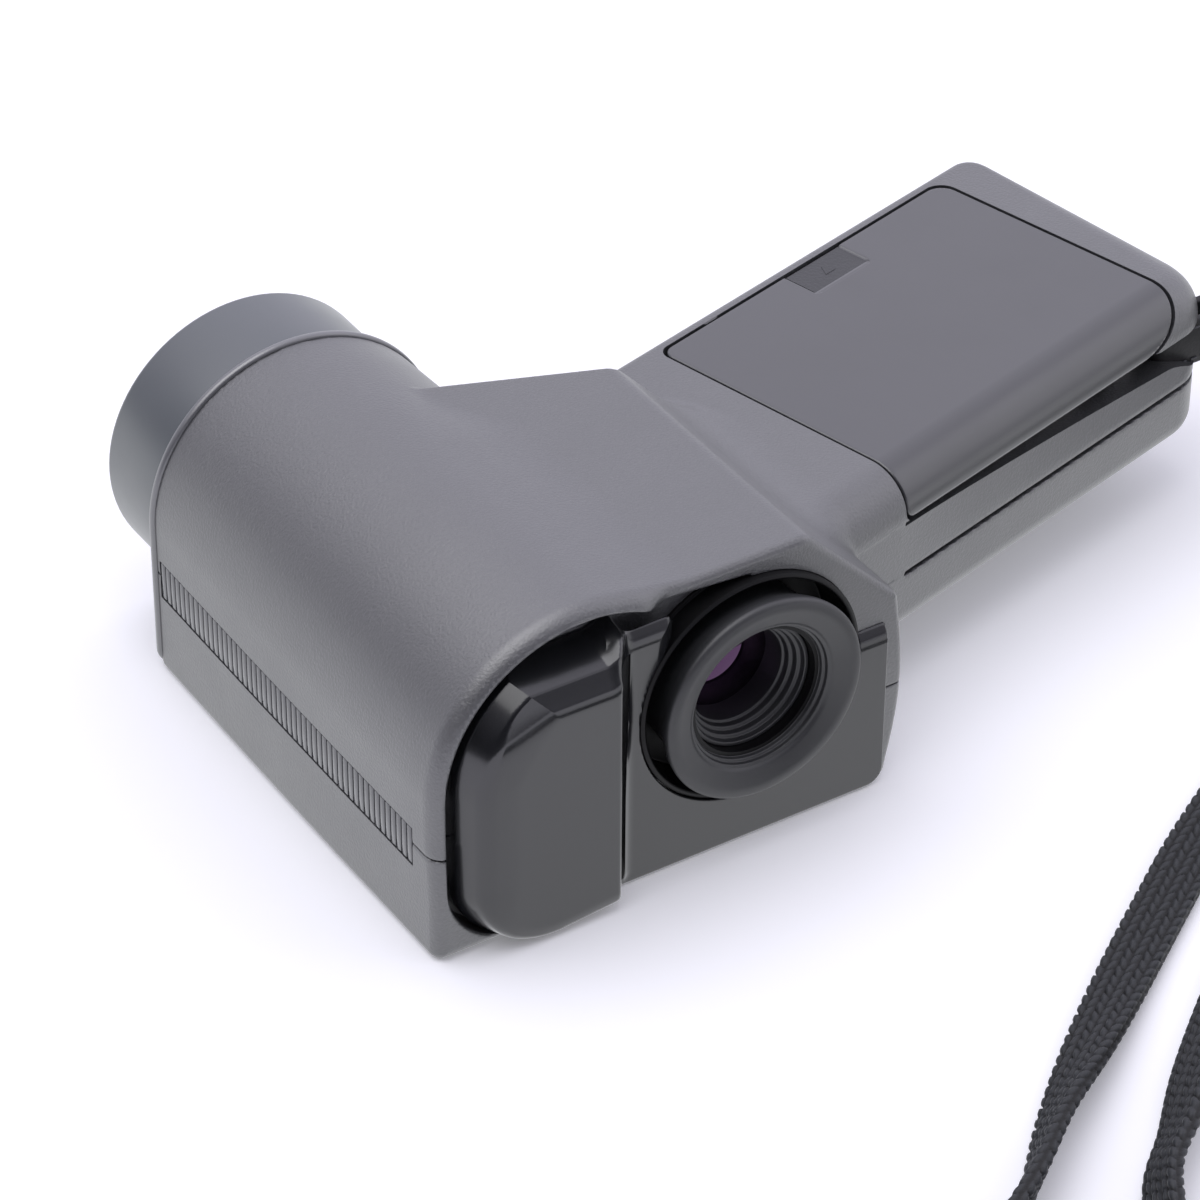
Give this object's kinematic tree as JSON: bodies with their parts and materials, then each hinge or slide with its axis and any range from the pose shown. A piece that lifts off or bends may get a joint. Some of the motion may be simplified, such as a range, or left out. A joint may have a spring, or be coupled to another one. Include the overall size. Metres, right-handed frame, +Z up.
{
  "type": "spot light meter",
  "caption": "Pistol-grip spot light meter: round lens housing, rear eyepiece, display side with keys, measuring button, sliding battery door and a braided wrist strap.",
  "frame": {"origin": "centre of the bounding box at the bottom, strap left out", "axes": "+X from the top face to the grip's end, +Y forward along the lens axis, +Z up from the display side that the meter lies on"},
  "size_m": [0.1902, 0.2147, 0.048],
  "materials": {
    "case_plastic": "fine-grained matt dark grey",
    "strip_plastic": "moulded fine ribs",
    "barrel_metal": "smooth satin slate grey, anodised",
    "frame_metal": "die cast, blackened",
    "door_plastic": "smooth satin dark grey",
    "cover_plastic": "glossy dark grey",
    "black_plastic": "black",
    "eyecup_rubber": "satin black",
    "lens_glass": "clear polished",
    "coated_glass": "purple coated",
    "mirror_glass": "silvered",
    "cell_can": "satin can",
    "board_laminate": "green laminate",
    "display_glass": "grey display",
    "window_plastic": "clear smoked",
    "key_plastic": "smooth mid grey",
    "spring_steel": "nickel plated",
    "steel": "dark plated",
    "cell_jacket": "coloured metal jacket, bare",
    "bush_brass": "turned",
    "strap_leather": "black",
    "strap_braid": "charcoal flat braid"
  },
  "bodies": {
    "body": {"right_case": "case_plastic", "left_case": "case_plastic", "front_panel": "case_plastic", "lens_barrel": "barrel_metal", "front_lens": "lens_glass", "lens_ring": "black_plastic", "rear_cover": "cover_plastic", "eyepiece_seat": "black_plastic", "trigger_spring": "spring_steel", "tripod_bush": "bush_brass", "strap_eye": "strap_leather", "wrist_strap": "strap_braid", "barrel_nut": "black_plastic", "lens_spacer": "black_plastic", "rear_lens": "lens_glass", "optical_frame": "frame_metal", "beam_splitter": "mirror_glass", "finder_mirror": "mirror_glass", "reticle_plate": "lens_glass", "photocell": "cell_can", "main_board": "board_laminate", "display_panel": "display_glass", "trigger_switch": "black_plastic", "battery_cell": "cell_jacket", "battery_tray": "black_plastic", "battery_spring": "spring_steel", "battery_contact": "spring_steel", "strap_pin": "steel", "case_screws": "steel", "ribbed_strip": "strip_plastic", "display_window": "window_plastic"},
    "trigger": {"trigger": "key_plastic"},
    "power_switch": {"power_switch": "key_plastic"},
    "battery_door": {"battery_door": "door_plastic"},
    "focus_ring": {"focus_ring": "black_plastic", "eyecup": "eyecup_rubber"},
    "lens_cell": {"lens_cell": "black_plastic", "eyepiece_lens": "coated_glass"},
    "mode_key": {"mode_key": "key_plastic"},
    "speed_key": {"speed_key": "key_plastic"},
    "up_key": {"up_key": "key_plastic"},
    "down_key": {"down_key": "key_plastic"},
    "memory_key": {"memory_key": "key_plastic"},
    "clear_key": {"clear_key": "key_plastic"}
  },
  "joints": [
    {"name": "trigger_press", "type": "slide", "parent": "body", "child": "trigger", "axis": [0.2588, -0.9659, 0], "range_m": [0, 0.0018], "stiffness_N_per_m": 400, "springref_m": -0.002, "deforming": ["trigger_spring"]},
    {"name": "power_slide", "type": "slide", "parent": "body", "child": "power_switch", "axis": [0, 1, 0], "range_m": [0, 0.005]},
    {"name": "door_slide", "type": "slide", "parent": "body", "child": "battery_door", "axis": [0.2588, -0.9659, 0], "range_m": [0, 0.012]},
    {"name": "focus_turn", "type": "hinge", "parent": "body", "child": "focus_ring", "pos_m": [-0.02603, -0.04155, 0.025], "axis": [0, 1, 0], "range_deg": [-120, 120]},
    {"name": "lens_cell_slide", "type": "slide", "parent": "body", "child": "lens_cell", "axis": [0, 1, 0], "range_m": [-0.001, 0.001]},
    {"name": "mode_key_press", "type": "slide", "parent": "body", "child": "mode_key", "axis": [0, 0, 1], "range_m": [0, 0.0005], "stiffness_N_per_m": 2000, "springref_m": -0.0003},
    {"name": "speed_key_press", "type": "slide", "parent": "body", "child": "speed_key", "axis": [0, 0, 1], "range_m": [0, 0.0005], "stiffness_N_per_m": 2000, "springref_m": -0.0003},
    {"name": "up_key_press", "type": "slide", "parent": "body", "child": "up_key", "axis": [0, 0, 1], "range_m": [0, 0.0005], "stiffness_N_per_m": 2000, "springref_m": -0.0003},
    {"name": "down_key_press", "type": "slide", "parent": "body", "child": "down_key", "axis": [0, 0, 1], "range_m": [0, 0.0005], "stiffness_N_per_m": 2000, "springref_m": -0.0003},
    {"name": "memory_key_press", "type": "slide", "parent": "body", "child": "memory_key", "axis": [0, 0, 1], "range_m": [0, 0.0005], "stiffness_N_per_m": 2000, "springref_m": -0.0003},
    {"name": "clear_key_press", "type": "slide", "parent": "body", "child": "clear_key", "axis": [0, 0, 1], "range_m": [0, 0.0005], "stiffness_N_per_m": 2000, "springref_m": -0.0003}
  ],
  "couplings": [
    {"joint": "lens_cell_slide", "follows": "focus_turn", "m_per_rad": 0.00047352}
  ]
}
